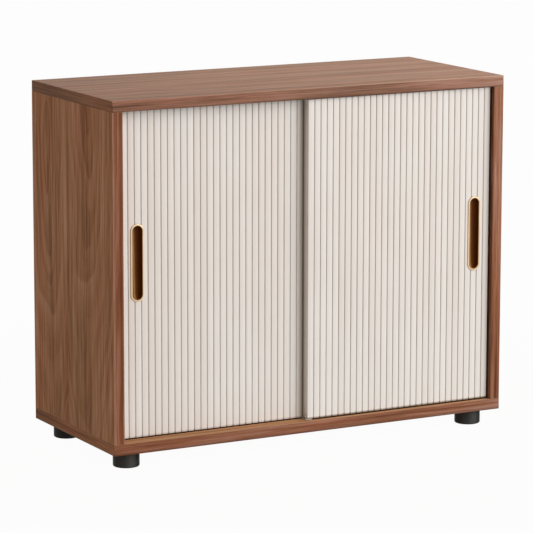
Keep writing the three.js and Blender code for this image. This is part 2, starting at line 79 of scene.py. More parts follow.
class Value:
    """A socket of a finish that takes part in plain arithmetic."""

    def __init__(self, finish, socket):
        self.finish = finish
        self.socket = socket

    def __add__(self, other):
        return self.finish.maths("ADD", self, other)

    def __radd__(self, other):
        return self.finish.maths("ADD", other, self)

    def __sub__(self, other):
        return self.finish.maths("SUBTRACT", self, other)

    def __rsub__(self, other):
        return self.finish.maths("SUBTRACT", other, self)

    def __mul__(self, other):
        return self.finish.maths("MULTIPLY", self, other)

    def __rmul__(self, other):
        return self.finish.maths("MULTIPLY", other, self)

    def __truediv__(self, other):
        return self.finish.maths("DIVIDE", self, other)

    def __rtruediv__(self, other):
        return self.finish.maths("DIVIDE", other, self)

    def __abs__(self):
        return self.finish.maths("ABSOLUTE", self)

    def least(self, other):
        return self.finish.maths("MINIMUM", self, other)

    def most(self, other):
        return self.finish.maths("MAXIMUM", self, other)

    def root(self):
        return self.finish.maths("SQRT", self)

    def whole(self):
        return self.finish.maths("FLOOR", self)

    def part(self):
        return self.finish.maths("FRACT", self)

    def under(self, limit):
        return self.finish.maths("LESS_THAN", self, limit)

    def over(self, limit):
        return self.finish.maths("GREATER_THAN", self, limit)


def place_stops(ramp, stops):
    while len(ramp.elements) < len(stops):
        ramp.elements.new(0.5)
    for element, (where, colour) in zip(ramp.elements, stops):
        element.position = where
        element.color = colour


class Nodes:
    """A tree of nodes, and the shader that they feed."""

    def __init__(self, tree, shader):
        self.tree = tree
        self.shader = tree.nodes[shader]

    def node(self, kind, settings=None, values=None):
        """Adds a node, makes its settings, then gives its sockets their values or links."""
        made = self.tree.nodes.new(kind)
        for setting, choice in (settings or {}).items():
            if setting == "stops":
                place_stops(made.color_ramp, choice)
            else:
                setattr(made, setting, choice)
        for socket, value in (values or {}).items():
            self.feed(made.inputs[socket], value)
        return made

    def feed(self, socket, value):
        if isinstance(value, Value):
            self.tree.links.new(value.socket, socket)
        else:
            socket.default_value = value

    def wear(self, socket, value):
        """Feeds one of the shader's own sockets."""
        self.feed(self.shader.inputs[socket], value)

    def maths(self, operation, *values):
        made = self.node("ShaderNodeMath", {"operation": operation}, dict(enumerate(values)))
        return Value(self, made.outputs[0])

    def place(self):
        """The point of the surface in the cabinet's own frame, as three values."""
        where = self.node("ShaderNodeTexCoord").outputs["Object"]
        parts = self.node("ShaderNodeSeparateXYZ", None, {0: Value(self, where)})
        return [Value(self, socket) for socket in parts.outputs]

    def texture(self, texture, first, second, third=0.0, shift=0.0):
        """A texture along three directions, from 0 to 1. The shift moves it on along the third."""
        third = third * texture.third + (shift + texture.seed)
        values = {0: first * texture.first, 1: second * texture.second, 2: third}
        point = self.node("ShaderNodeCombineXYZ", None, values)
        values = {"Vector": Value(self, point.outputs[0]), "Scale": 1.0, "Detail": texture.detail,
                  "Roughness": texture.roughness}
        made = self.node("ShaderNodeTexNoise", {"noise_dimensions": "3D"}, values)
        return Value(self, made.outputs[0])

    def chance(self, value):
        """A fixed value from 0 to 1 for each whole number."""
        made = self.node("ShaderNodeTexWhiteNoise", {"noise_dimensions": "1D"}, {"W": value})
        return Value(self, made.outputs["Value"])

    def rise(self, value, low, high):
        """0 below low, 1 above high, and a smooth rise between them."""
        values = {"Value": value, "From Min": low, "From Max": high}
        made = self.node("ShaderNodeMapRange", {"interpolation_type": "SMOOTHSTEP"}, values)
        return Value(self, made.outputs[0])

    def fall(self, value, low, high):
        """1 below low, 0 above high, and a smooth fall between them."""
        return 1 - self.rise(value, low, high)

    def mix(self, share, first, second, blend="MIX"):
        """The first colour, with a share of the second one."""
        values = {MIX_SHARE: share, MIX_FIRST: first, MIX_SECOND: second}
        made = self.node("ShaderNodeMix", {"data_type": "RGBA", "blend_type": blend}, values)
        return Value(self, made.outputs[MIX_RESULT])

    def tones(self, share, stops):
        made = self.node("ShaderNodeValToRGB", {"stops": stops}, {0: share})
        return Value(self, made.outputs[0])

    def bump(self, height, depth):
        made = self.node("ShaderNodeBump", None, {"Height": height, "Distance": depth})
        self.wear("Normal", Value(self, made.outputs[0]))


class Finish(Nodes):
    """One material, with the settings of its shader that are the same all over."""

    def __init__(self, name, **settings):
        self.material = bpy.data.materials.new(name)
        self.material.use_nodes = True
        super().__init__(self.material.node_tree, "Principled BSDF")
        for socket, value in settings.items():
            self.wear(socket.replace("_", " "), value)


def uneven(level, *textures):
    """A level that textures move up and down, each over its own reach."""
    for texture, reach in textures:
        level = level + (texture - 0.5) * reach
    return level


def paint(red, green, blue):
    """A colour as it is written on screen, from 0 to 255, as light by the screen's own curve."""
    def light(value):
        share = value / 255
        return share / 12.92 if share <= 0.04045 else ((share + 0.055) / 1.055) ** 2.4
    return (light(red), light(green), light(blue), 1.0)


# Walnut veneer on the four outer boards

# How the tree's pith and its rings stray, along the board and across it, and how far in metres
DRIFT = Texture(2.8, 7)
DRIFT_REACH = 0.05
WANDER = Texture(9, 14, seed=4.2)
WANDER_REACH = 0.014

# The layers of the pattern, across the grain and along it. The figure and the veins follow the
# growth rings, the fibres and the pores run through the wood, and the rest lie along the surface.
FIGURE = Texture(62, 1.1, detail=3.0, roughness=0.6, seed=1.1)
VEIN = Texture(130, 1.6, seed=7.7)
BAND = Texture(34, 1.7, detail=3.0, roughness=0.6, seed=5.3)
STREAK = Texture(150, 3.4, detail=3.0, roughness=0.65, seed=2.3)
HAIR = Texture(520, 8, roughness=0.6, seed=3.9)
FIBRE = Texture(1100, 1100, 26, roughness=0.6)
PORE = Texture(2400, 2400, 90, detail=1.0)
HUE = Texture(30, 2.2, detail=3.0, roughness=0.6, seed=8.6)

# How far the layers move the tone
FIGURE_REACH = 0.40
BAND_REACH = 0.60
STREAK_REACH = 0.85
HAIR_REACH = 0.70
FIBRE_REACH = 0.40

# What darkens the tone, and how much: the late wood, from the share of a year at which it starts to
# the one at which it is darkest, and more in some years than in others, the veins, between two
# levels of their texture, and the wood within a reach of the pith
LATE_START, LATE_PEAK = 0.25, 0.90
LATE_SHARE, BOLD_SHARE = 0.03, 0.16
VEIN_LOW, VEIN_HIGH, VEIN_SHARE = 0.58, 0.72, 0.15
PITH_REACH, PITH_SHARE = 0.07, 0.06

# The strips on the narrow faces: how far these reach round the arrises, and how closely the rings
# of the strips lie
STRIP_EDGE = 0.54 * MM
STRIP_RINGS = 1.6

# What the pattern makes of a wood colour: its plain level and its spread, where the dark, the plain
# and the light tone lie, and how far the dark and the light one are from the plain one
TONE_LEVEL, TONE_SPREAD = 0.586, 1.12
TONE_PLACES = (0.10, 0.50, 0.90)
DARKER, PALER, BRIGHTER = 0.62, 0.11, 0.30

# Between which levels of their texture the pores open, and how dark they are
PORE_LOW, PORE_HIGH, PORE_SHARE = 0.62, 0.76, 0.30

# Painted highlight and painted shade that the veneers lay along their arrises and front edges
EDGE_HIGHLIGHT = paint(214, 176, 150)
SHADED_ARRIS = paint(84, 52, 36)
PORE_TONE = paint(84, 52, 36)
OLIVE_TINT = (0.80, 1.05, 1.06, 1.0)
RUDDY_TINT = (1.20, 0.95, 0.94, 1.0)
# Painted shade: the inner faces behind the doors are a darker, flatter copy of the veneer
INSIDE_FACE, INSIDE_CONTRAST = paint(100, 62, 41), 0.5
SIDE_FACE = paint(170, 120, 87)
# Painted shade on the margins of the inner faces of the top board and the right side
SIDE_MARGIN = paint(116, 72, 47)
# Painted light on the bottom board's ledge close in front of the doors
PALE_LEDGE = paint(224, 166, 120)
# Painted shade on the right side's margin close in front of the doors
DARK_MARGIN = paint(62, 34, 20)
BOARD_END = paint(153, 104, 73)

# A tone of painted shade or painted light laid along an edge, its share there and how far it reaches
Edging = namedtuple("Edging", "tone share reach")

# Where the edgings start to weaken at the arrises and in front of the doors
ARRIS_START = 0.2 * MM
DOOR_START = 1 * MM

# The painted highlight on the upper arrises gets stronger along a board, so many times as fast as
# its face gets paler
HIGHLIGHT_FADE = 8

# How a board's veneer is cut from the tree, in metres: where its two leaves meet, how far from
# there the heart of each leaf is, how deep behind the face the pith lies, how steeply the face cuts
# the growth rings and at what place along the board, how much further on in the second leaf, how
# much the pith strays, the width of a growth ring, and how much paler the face and the edge strips
# get along the board, which is painted light
Cut = namedtuple("Cut", "join half behind lean eye step stray ring fade strip")

# The veneer of a board: its name, the axis that its fibres follow, a seed for its pattern, how it is
# cut, the colours of its outer face, of the margin of its inner face in front of the doors, of its
# front and of its ends, the edgings of painted shade and highlight of its lower and its upper
# arrises, those along the front's two long edges, with the lower or left one first, those of painted
# light and shade on the margin close in front of the doors, the refraction of its lacquer, and its
# contrast
Veneer = namedtuple("Veneer", "name grain seed cut face margin front ends lower upper bands beside "
                              "refraction contrast", defaults=((), (), 1.06, 1.0))

VENEERS = {
    "top_board": Veneer(
        name="walnut_top", grain="x", seed=3.0,
        cut=Cut(join=0.02, half=0.60, behind=0.05, lean=0.03, eye=0.0, step=0.1, stray=0.05,
                ring=0.034, fade=0.30, strip=0.24),
        face=paint(160, 111, 78), margin=SIDE_MARGIN, front=paint(148, 107, 88), ends=BOARD_END,
        lower=Edging(SHADED_ARRIS, 0.50, 3 * MM), upper=Edging(EDGE_HIGHLIGHT, 0.38, 2 * MM),
        bands=(Edging(SHADED_ARRIS, 0.40, 6 * MM),), refraction=1.11, contrast=0.95),
    "bottom_board": Veneer(
        name="walnut_bottom", grain="x", seed=17.0,
        cut=Cut(join=0.0, half=0.30, behind=0.08, lean=0.05, eye=0.2, step=0.1, stray=0.08,
                ring=0.024, fade=0.20, strip=0.24),
        face=SIDE_FACE, margin=paint(184, 133, 93), front=paint(143, 93, 69),
        ends=paint(158, 107, 75),
        lower=Edging(SHADED_ARRIS, 0.65, 2 * MM), upper=Edging(EDGE_HIGHLIGHT, 0.15, 1.5 * MM),
        bands=(Edging(SHADED_ARRIS, 0.60, 9 * MM),), beside=(Edging(PALE_LEDGE, 0.9, 6 * MM),),
        refraction=1.08),
    "left_side": Veneer(
        name="walnut_left_side", grain="z", seed=29.0,
        cut=Cut(join=0.022, half=0.082, behind=0.0, lean=0.21, eye=0.60, step=-0.075, stray=0.07,
                ring=0.017, fade=0.0, strip=-0.25),
        face=SIDE_FACE, margin=paint(176, 126, 88), front=paint(134, 84, 59), ends=BOARD_END,
        lower=Edging(EDGE_HIGHLIGHT, 0.15, 1.5 * MM), upper=Edging(EDGE_HIGHLIGHT, 0.15, 1.5 * MM),
        bands=(Edging(EDGE_HIGHLIGHT, 0.12, 8 * MM), Edging(SHADED_ARRIS, 0.10, 9 * MM))),
    "right_side": Veneer(
        name="walnut_right_side", grain="z", seed=41.0,
        cut=Cut(join=-0.01, half=0.078, behind=0.01, lean=0.19, eye=0.12, step=0.09, stray=0.07,
                ring=0.018, fade=0.0, strip=0.12),
        face=SIDE_FACE, margin=SIDE_MARGIN, front=paint(144, 94, 68), ends=BOARD_END,
        lower=Edging(EDGE_HIGHLIGHT, 0.10, 1.5 * MM), upper=Edging(EDGE_HIGHLIGHT, 0.10, 1.5 * MM),
        beside=(Edging(DARK_MARGIN, 0.8, 6 * MM),)),
}


def shades(plain, contrast):
    """A dark, a plain and a light tone of one wood colour."""
    dark = [share * (1 - DARKER * contrast) for share in plain[:3]]
    light = [share + ((1 - share) * PALER + share * BRIGHTER) * contrast for share in plain[:3]]
    return list(zip(TONE_PLACES, ((*dark, 1.0), plain, (*light, 1.0))))


def door_distance(x, y):
    """How far in front of the closed doors a place is, and less than 0 behind their fronts."""
    front_door, rear_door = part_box("right_door_panel")[0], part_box("left_door_panel")[0]
    return front_door.y + x.under(front_door.x) * (rear_door.y - front_door.y) - y


class Walnut(Finish):
    """The walnut veneer of one board. A point of it lies so far along the fibres, and so deep in
    the thickness. Narrow is 1 on the board's front, back and ends, and end is 1 on the ends."""

    def __init__(self, node, veneer):
        super().__init__(veneer.name, IOR=veneer.refraction)
        self.veneer = veneer
        self.low, self.high, self.heart = measure(node)
        self.x, self.y, self.z = self.place()
        if veneer.grain == "z":
            self.along, self.deep, self.depth_axis = self.z, self.x, "x"
            self.end = 0.0
        else:
            self.along, self.deep, self.depth_axis = self.x, self.z, "z"
            self.end = self.on_faces("x")
        self.narrow = self.on_faces("y").most(self.end)
        self.from_middle = self.along - getattr(self.heart, veneer.grain)

    def on_faces(self, axis):
        """1 on the two faces that lie across an axis."""
        value, low, high = [getattr(owner, axis) for owner in (self, self.low, self.high)]
        return (value - low).under(STRIP_EDGE).most((high - value).under(STRIP_EDGE))

    def pith_distance(self):
        """How far the tree's pith is from a point of the face, in two leaves laid side by side."""
        cut, seed = self.veneer.cut, self.veneer.seed
        drift = self.texture(DRIFT, self.along, self.y, shift=seed) - 0.5
        wander = self.texture(WANDER, self.along, self.y, shift=seed) - 0.5
        across = abs(self.y - self.heart.y - cut.join) - cut.half + drift * DRIFT_REACH
        second = self.y.over(self.heart.y + cut.join)
        behind = (self.along - cut.eye - second * cut.step) * cut.lean + drift * cut.stray
        behind = cut.behind + behind
        return (across * across + behind * behind).root() + wander * WANDER_REACH

    def growth(self, radius, path, run):
        """How much the late wood of each year, the veins and the wood round the pith darken it."""
        age = path / self.veneer.cut.ring
        year = age.part()
        late = self.rise(year, LATE_START, LATE_PEAK) - self.rise(year, LATE_PEAK, 1.0)
        bold = self.chance(age.whole() + self.veneer.seed)
        vein = self.texture(VEIN, path, run, shift=self.veneer.seed)
        vein = self.rise(vein, VEIN_LOW, VEIN_HIGH)
        heart = self.fall(radius, 0.0, PITH_REACH)
        return late * (LATE_SHARE + bold * BOLD_SHARE) + vein * VEIN_SHARE + heart * PITH_SHARE

    def shaded(self, tone, plain):
        return self.tones(tone, shades(plain, self.veneer.contrast))

    def edged(self, colour, edging, distance, start=0.0, strength=1.0):
        """The colour, with an edging's tone laid over it close to the edge."""
        share = self.fall(distance, start, edging.reach) * (strength * edging.share)
        return self.mix(share, colour, edging.tone)

    def face_colour(self, tone):
        """The outer face, and the inner one, which differs in front of the doors from the rest."""
        ahead = door_distance(self.x, self.y)
        # The margins and their edgings in front of the doors carry painted shade and painted light
        margin = self.shaded(tone, self.veneer.margin)
        for edging in self.veneer.beside:
            margin = self.edged(margin, edging, ahead, DOOR_START)
        # Behind the doors the inner face takes the darker tone of painted shade
        inside = self.tones(tone, shades(INSIDE_FACE, INSIDE_CONTRAST))
        inside = self.mix(ahead.over(0.0), inside, margin)
        middle, centre = [getattr(place, self.depth_axis)
                          for place in (self.heart, measure("centre_divider")[2])]
        inner = self.deep.over(middle) if middle < centre else self.deep.under(middle)
        return self.mix(inner, self.shaded(tone, self.veneer.face), inside)

    def front_colour(self, tone):
        colour = self.shaded(tone, self.veneer.front)
        # The bands along the front's long edges are painted shade and painted highlight
        for edging, corner in zip(self.veneer.bands, (self.low, self.high)):
            colour = self.edged(colour, edging, abs(self.deep - getattr(corner, self.depth_axis)))
        return colour

    def arris_distance(self):
        """How far the nearest arris is, which is the middle one of the distances from the board's
        three pairs of faces."""
        first, second, third = [(value - near).least(far - value) for value, near, far
                                in zip((self.x, self.y, self.z), self.low, self.high)]
        nearest = first.least(second).least(third)
        furthest = first.most(second).most(third)
        return first + second + third - nearest - furthest

    def with_arrises(self, colour):
        """The colour, with the edgings of the lower and of the upper arrises: painted shade and painted
        highlights.
        """
        distance = self.arris_distance()
        highlight_gain = 1 + self.from_middle * (self.veneer.cut.fade * HIGHLIGHT_FADE)
        lower = self.edged(colour, self.veneer.lower, distance, ARRIS_START)
        upper = self.edged(colour, self.veneer.upper, distance, ARRIS_START, highlight_gain)
        return self.mix(self.z.over(self.heart.z), lower, upper)


def walnut(node):
    """Veneer with growth rings, fibres and pores, and strips of straight grain on the narrow faces."""
    veneer = VENEERS[node]
    cut, seed = veneer.cut, veneer.seed
    wood = Walnut(node, veneer)
    run = wood.along + (wood.y - wood.along) * wood.end
    side = wood.y + (wood.deep - wood.y) * wood.narrow
    radius = wood.pith_distance()
    path = radius + (wood.deep * STRIP_RINGS - radius) * wood.narrow
    figure = wood.texture(FIGURE, path, run, shift=seed)
    band, streak, hair, hue = [wood.texture(layer, side, run, shift=seed)
                               for layer in (BAND, STREAK, HAIR, HUE)]
    fibre = wood.texture(FIBRE, wood.y, wood.deep, run)
    pitted = wood.rise(wood.texture(PORE, wood.y, wood.deep, run), PORE_LOW, PORE_HIGH)
    tone = uneven(0.0, (figure, FIGURE_REACH), (band, BAND_REACH), (streak, STREAK_REACH),
                  (hair, HAIR_REACH), (fibre, FIBRE_REACH))
    tone = TONE_LEVEL + (tone - wood.growth(radius, path, run)) * TONE_SPREAD
    # Painted light: the face and the edge strips get paler along the board
    tone = tone + wood.from_middle * (cut.fade + wood.narrow * (cut.strip - cut.fade))
    strips = wood.mix(wood.end, wood.front_colour(tone), wood.shaded(tone, veneer.ends))
    colour = wood.mix(wood.narrow, wood.face_colour(tone), strips)
    colour = wood.mix(1.0, colour, wood.mix(hue, OLIVE_TINT, RUDDY_TINT), "MULTIPLY")
    # Painted shade and painted highlights along the arrises
    colour = wood.with_arrises(colour)
    wood.wear("Base Color", wood.mix(pitted * PORE_SHARE, colour, PORE_TONE))
    wood.wear("Roughness", uneven(0.40, (streak, 0.20)) + pitted * 0.15)
    wood.bump(fibre * 0.5 - pitted, 0.05 * MM)
    return wood.material


# Plain matt walnut veneer inside the case

LINING_CLOUD = Texture(9, 9, 1.6, detail=3.0, roughness=0.6)
LINING_STREAK = Texture(120, 120, 4, detail=4.0, roughness=0.6)
LINING_TONES = [(0.30, paint(104, 68, 48)), (0.50, paint(139, 95, 70)), (0.72, paint(162, 116, 88))]


def walnut_lining(name, grain, seed):
    """Streaked veneer. The grain is the axis that its fibres follow."""
    veneer = Finish(name, Specular_IOR_Level=0.35)
    x, y, z = veneer.place()
    along, across = (z, x) if grain == "z" else (x, z)
    cloud = veneer.texture(LINING_CLOUD, across, y + seed / LINING_CLOUD.second, along)
    streak = veneer.texture(LINING_STREAK, across, y, along, shift=seed)
    veneer.wear("Base Color", veneer.tones(cloud * 0.55 + streak * 0.45, LINING_TONES))
    veneer.wear("Roughness", uneven(0.50, (streak, 0.20)))
    veneer.bump(streak, 0.05 * MM)
    return veneer.material


# Cream lacquer on the slatted doors

# The slats are whole from the end where the doors meet
SLAT_WIDTHS = {"left": 13.0 * MM, "right": 12.8 * MM}

LACQUER_BRUSH = Texture(420, 420, 3.5, detail=3.0, roughness=0.6)
LACQUER_CLOUD = Texture(11, 11, 7, detail=3.0, roughness=0.6)
ORANGE_PEEL = Texture(900, 900, 700, detail=1.0)
LACQUER_TONES = [(0.25, paint(221, 212, 204)), (0.50, paint(226, 220, 215)),
                 (0.78, paint(232, 229, 225))]
FLUTE_SHADE = paint(142, 132, 122)
MEETING_SHADE = paint(106, 82, 46)

# Between which depths of a flute its walls get darker with painted shade and lighter again, and how
# much darker
WALL_TOP = (0.35 * MM, 1.7 * MM)
WALL_BOTTOM = (1.9 * MM, 2.1 * MM)
WALL_SHARE = 0.25

# Where the doors carry painted shade, and how much: the left one from just before the strip that
# the right one always covers, and under the top board, the right one on its end, towards the back,
# and both at their feet
APPROACH_WIDTH, APPROACH_SHARE = 10 * MM, 0.16
COVERED_EDGE, COVERED_SHARE = 1 * MM, 0.54
HEAD_START, HEAD_END, HEAD_SHARE = 9 * MM, 1 * MM, 0.26
END_START, END_DEPTH, END_SHARE = 0.2 * MM, 0.9 * MM, 0.14
INWARD_START, INWARD_END, INWARD_SHARE = 4 * MM, 15 * MM, 0.30
FOOT_START, FOOT_END = 0.5 * MM, 4.0 * MM
FOOT_SHARES = {"left": 0.38, "right": 0.85}


def meeting_shade(lacquer, side, x, y, z):
    """How much painted shade a door carries where the two meet, under the top board and at its foot."""
    low, high, _ = measure(f"{side}_door_panel")
    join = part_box("right_door_panel")[0].x
    foot = lacquer.fall(z - low.z, FOOT_START, FOOT_END) * FOOT_SHARES[side]
    if side == "left":
        approach = lacquer.rise(x, join - APPROACH_WIDTH, join) * APPROACH_SHARE
        covered = lacquer.rise(x, join - COVERED_EDGE, join + COVERED_EDGE) * COVERED_SHARE
        head = lacquer.rise(z, high.z - HEAD_START, high.z - HEAD_END) * HEAD_SHARE
        return (approach + covered).most(head).most(foot)
    end = lacquer.fall(x - join, END_START, END_DEPTH)
    inward = lacquer.rise(y - low.y, INWARD_START, INWARD_END) * INWARD_SHARE
    return (end * (END_SHARE + inward)).most(foot)


def cream_lacquer(side):
    """Brushed satin lacquer, with slats that differ a little, painted shade, and a lower half that
    painted light makes slightly paler.
    """
    lacquer = Finish(f"cream_lacquer_{side}", Specular_IOR_Level=0.45)
    low, high, heart = measure(f"{side}_door_panel")
    meeting = high.x if side == "left" else low.x
    x, y, z = lacquer.place()
    depth = y - low.y
    # The two doors' fronts lie at different places, which tells their patterns apart
    seed = low.y
    slat = lacquer.chance(((x - meeting) / SLAT_WIDTHS[side]).whole() + seed)
    brush = lacquer.texture(LACQUER_BRUSH, x, y, z)
    cloud = lacquer.texture(LACQUER_CLOUD, x, y, z, shift=seed)
    orange_peel = lacquer.texture(ORANGE_PEEL, x, y, z)
    # The rise towards the foot is painted light, which makes the lower half paler
    tone = slat * 0.22 + brush * 0.45 + cloud * 0.33 + lacquer.fall(z, low.z, heart.z) * 0.15
    # Painted shade on the flutes' walls
    wall = lacquer.rise(depth, *WALL_TOP) * lacquer.fall(depth, *WALL_BOTTOM)
    colour = lacquer.mix(wall * WALL_SHARE, lacquer.tones(tone, LACQUER_TONES), FLUTE_SHADE)
    # Painted shade where the doors meet, under the top board and at their feet
    colour = lacquer.mix(meeting_shade(lacquer, side, x, y, z), colour, MEETING_SHADE)
    lacquer.wear("Base Color", colour)
    lacquer.wear("Roughness", uneven(0.42, (cloud, 0.12), (brush, 0.10)))
    lacquer.bump(orange_peel * 0.5 + brush * 0.5, 0.03 * MM)
    return lacquer.material


# Brass and bronze of the finger recesses

RIM_WIDTH = 4 * MM

BRASS_BRUSH = Texture(2600, 400, 60)
BRASS_CLOUD = Texture(60, 60, 24, detail=3.0, roughness=0.6)
BRASS_TONES = [(0.30, paint(218, 187, 150)), (0.55, paint(233, 206, 172)), (0.75, paint(243, 222, 193))]

# The painted shadow on the rim's outer edge where it meets the slats, which is darker on the rim's
# left, and the painted shade in the throat where the rim turns in to the cup
RIM_SHADOW_TONE, RIM_SHADOW_SHARE = paint(110, 80, 56), 0.65
RIM_SHADOW_START, RIM_SHADOW_FULL = 0.70 * MM, 0.10 * MM
RIM_SHADOW_TURN, RIM_SHADOW_WEAKENING = 5 * MM, 0.8
THROAT_TONE, THROAT_SHARE, THROAT_REACH = paint(140, 104, 66), 0.85, 2.2 * MM


def brass(side):
    """Satin brass, with painted shadow on the rim's outer edge and painted shade in the throat."""
    metal = Finish(f"satin_brass_{side}", Metallic=0.25, Specular_IOR_Level=0.2)
    low, high, middle = measure(f"{side}_door_handle_rim")
    outside = (high.x - low.x) / 2
    x, y, z = metal.place()
    brush = metal.texture(BRASS_BRUSH, x, y, z)
    cloud = metal.texture(BRASS_CLOUD, x, y, z)
    across = x - middle.x
    beyond = (abs(z - middle.z) - (high.z - middle.z - outside)).most(0.0)
    reach = (across * across + beyond * beyond).root()
    inside = outside - RIM_WIDTH
    # Painted shade in the throat
    throat = metal.fall(reach, inside, inside + THROAT_REACH) * THROAT_SHARE
    # Painted shadow on the rim's outer edge, strongest on its left
    rim_shadow = metal.rise(reach, outside - RIM_SHADOW_START, outside - RIM_SHADOW_FULL) * RIM_SHADOW_SHARE
    rim_shadow = rim_shadow * (1 - metal.rise(across, -RIM_SHADOW_TURN, RIM_SHADOW_TURN) * RIM_SHADOW_WEAKENING)
    colour = metal.tones(cloud * 0.7 + brush * 0.3, BRASS_TONES)
    colour = metal.mix(throat, colour, THROAT_TONE)
    metal.wear("Base Color", metal.mix(rim_shadow, colour, RIM_SHADOW_TONE))
    metal.wear("Roughness", uneven(0.34, (cloud, 0.15), (brush, 0.10)))
    metal.bump(brush, 0.02 * MM)
    return metal.material


BRONZE_BRUSH = Texture(1500, 300, 50)
BRONZE_CLOUD = Texture(160, 160, 30, detail=3.0, roughness=0.6)

# The cup's tones from its left wall to its right one, which paint light left of its middle and
# shade to its right, how far to each side of its middle they change, how much that place leans, and
# how unevenly the tones meet
CUP_TONES = [(0.0, paint(104, 62, 28)), (0.16, paint(164, 118, 66)), (0.30, paint(178, 130, 68)),
             (0.60, paint(116, 68, 21)), (1.0, paint(88, 42, 6))]
CUP_LIGHT_SPREAD = 6 * MM
CUP_LIGHT_LEAN = 0.02
CUP_LIGHT_EDGE = 2 * MM


def bronze(side):
    """The cup of a finger recess: dark brown, with painted light in gold left of its middle and painted
    shade on its right.
    """
    metal = Finish(f"stained_bronze_{side}", Metallic=0.10, Specular_IOR_Level=0.12)
    _, _, heart = measure(f"{side}_door_handle_cup")
    x, y, z = metal.place()
    brush = metal.texture(BRONZE_BRUSH, x, y, z)
    cloud = metal.texture(BRONZE_CLOUD, x, y, z)
    across = uneven(x - heart.x + (z - heart.z) * CUP_LIGHT_LEAN, (cloud, CUP_LIGHT_EDGE))
    # Painted light and painted shade across the cup
    metal.wear("Base Color", metal.tones(metal.rise(across, -CUP_LIGHT_SPREAD, CUP_LIGHT_SPREAD), CUP_TONES))
    metal.wear("Roughness", uneven(0.46, (cloud, 0.20)))
    metal.bump(brush, 0.02 * MM)
    return metal.material


# Bare metals, plastics, rubber and plain wood

DRAWN = Texture(40, 2200, 2200)
METAL_CLOUD = Texture(90, 90, 90, detail=3.0, roughness=0.6)
METAL_PLACES = (0.30, 0.52, 0.74)
MOULD_GRAIN = Texture(1300, 1300, 1300, roughness=0.6)
MOULD_CLOUD = Texture(70, 70, 70, detail=3.0, roughness=0.6)
MOULD_PLACES = (0.32, 0.52, 0.70)
BEECH_FIBRE = Texture(1500, 1500, 60, detail=3.0, roughness=0.6)
BEECH_TONES = [(0.32, paint(188, 146, 98)), (0.52, paint(210, 173, 127)), (0.72, paint(224, 192, 150))]


def bare_metal(name, tones, roughness):
    """Drawn metal in a dull, a plain and a bright tone."""
    metal = Finish(name, Metallic=1.0)
    x, y, z = metal.place()
    drawn = metal.texture(DRAWN, x, y, z)
    cloud = metal.texture(METAL_CLOUD, x, y, z)
    metal.wear("Base Color", metal.tones(cloud * 0.6 + drawn * 0.4, list(zip(METAL_PLACES, tones))))
    metal.wear("Roughness", uneven(roughness, (cloud, 0.20), (drawn, 0.10)))
    metal.bump(drawn, 0.02 * MM)
    return metal.material


def moulded(name, tones, roughness, grain_depth):
    """Moulded plastic or rubber in a dull, a plain and a bright tone, with its mould's fine grain."""
    plastic = Finish(name)
    x, y, z = plastic.place()
    grain = plastic.texture(MOULD_GRAIN, x, y, z)
    cloud = plastic.texture(MOULD_CLOUD, x, y, z)
    plastic.wear("Base Color", plastic.tones(cloud * 0.7 + grain * 0.3, list(zip(MOULD_PLACES, tones))))
    plastic.wear("Roughness", uneven(roughness, (cloud, 0.20), (grain, 0.15)))
    plastic.bump(grain, grain_depth)
    return plastic.material


def beech(name):
    wood = Finish(name, Specular_IOR_Level=0.3)
    fibre = wood.texture(BEECH_FIBRE, *wood.place())
    wood.wear("Base Color", wood.tones(fibre, BEECH_TONES))
    wood.wear("Roughness", uneven(0.62, (fibre, 0.20)))
    wood.bump(fibre, 0.05 * MM)
    return wood.material


FOOT_CLOUD = Texture(110, 110, 240, detail=3.0, roughness=0.6)

# Across which way a foot's painted sheen runs, and its tones from the left of a foot to its right,
# which paint a sheen down its right front and shade at its far right edge
SHEEN_DIRECTION = (0.88, -0.47)
SHEEN_TONES = [(0.0, paint(58, 58, 57)), (0.25, paint(66, 66, 65)), (0.50, paint(65, 65, 64)),
               (0.70, paint(78, 78, 76)), (0.80, paint(70, 70, 68)), (0.93, paint(26, 26, 26))]
# The painted shade along a foot's lower rim: its tone and share, and between which heights it fades
FOOT_RIM_TONE, FOOT_RIM_SHARE = paint(14, 14, 14), 0.75
FOOT_RIM_START, FOOT_RIM_END = 0.4 * MM, 2.6 * MM


def black_foot(name):
    """Black moulded plastic with a painted sheen down each foot's right front, and painted shade on its
    far right edge and its lower rim.
    """
    plastic = Finish(name, IOR=1.12)
    low, high, heart = measure("foot_front_left")
    x, y, z = plastic.place()
    # The four feet lie at the same distances from the middle of the cabinet
    across, deep = [value - (value.over(0.0) * 2 - 1) * abs(middle)
                    for value, middle in ((x, heart.x), (y, heart.y))]
    turn = (across * SHEEN_DIRECTION[0] + deep * SHEEN_DIRECTION[1]) / (high.x - low.x) + 0.5
    grain = plastic.texture(MOULD_GRAIN, x, y, z)
    cloud = plastic.texture(FOOT_CLOUD, x, y, z)
    # Painted sheen and painted shade round the foot
    colour = plastic.tones(uneven(turn, (cloud, 0.16), (grain, 0.06)), SHEEN_TONES)
    # Painted shade along the lower rim
    rim = plastic.fall(z, FOOT_RIM_START, FOOT_RIM_END) * FOOT_RIM_SHARE
    plastic.wear("Base Color", plastic.mix(rim, colour, FOOT_RIM_TONE))
    plastic.wear("Roughness", uneven(0.40, (cloud, 0.20), (grain, 0.15)))
    plastic.bump(grain, 0.08 * MM)
    return plastic.material


# Meshes

# Up to which angle an edge is smooth, how many steps go round each end of a pill, and under which
# straight length a pill is a circle
SMOOTH_ANGLE = math.radians(38)
PILL_STEPS = 20
NO_LENGTH = 0.002 * MM


def show(name, data):
    """Puts a mesh, a lamp or a camera in the scene."""
    made = bpy.data.objects.new(name, data)
    bpy.context.scene.collection.objects.link(made)
    return made


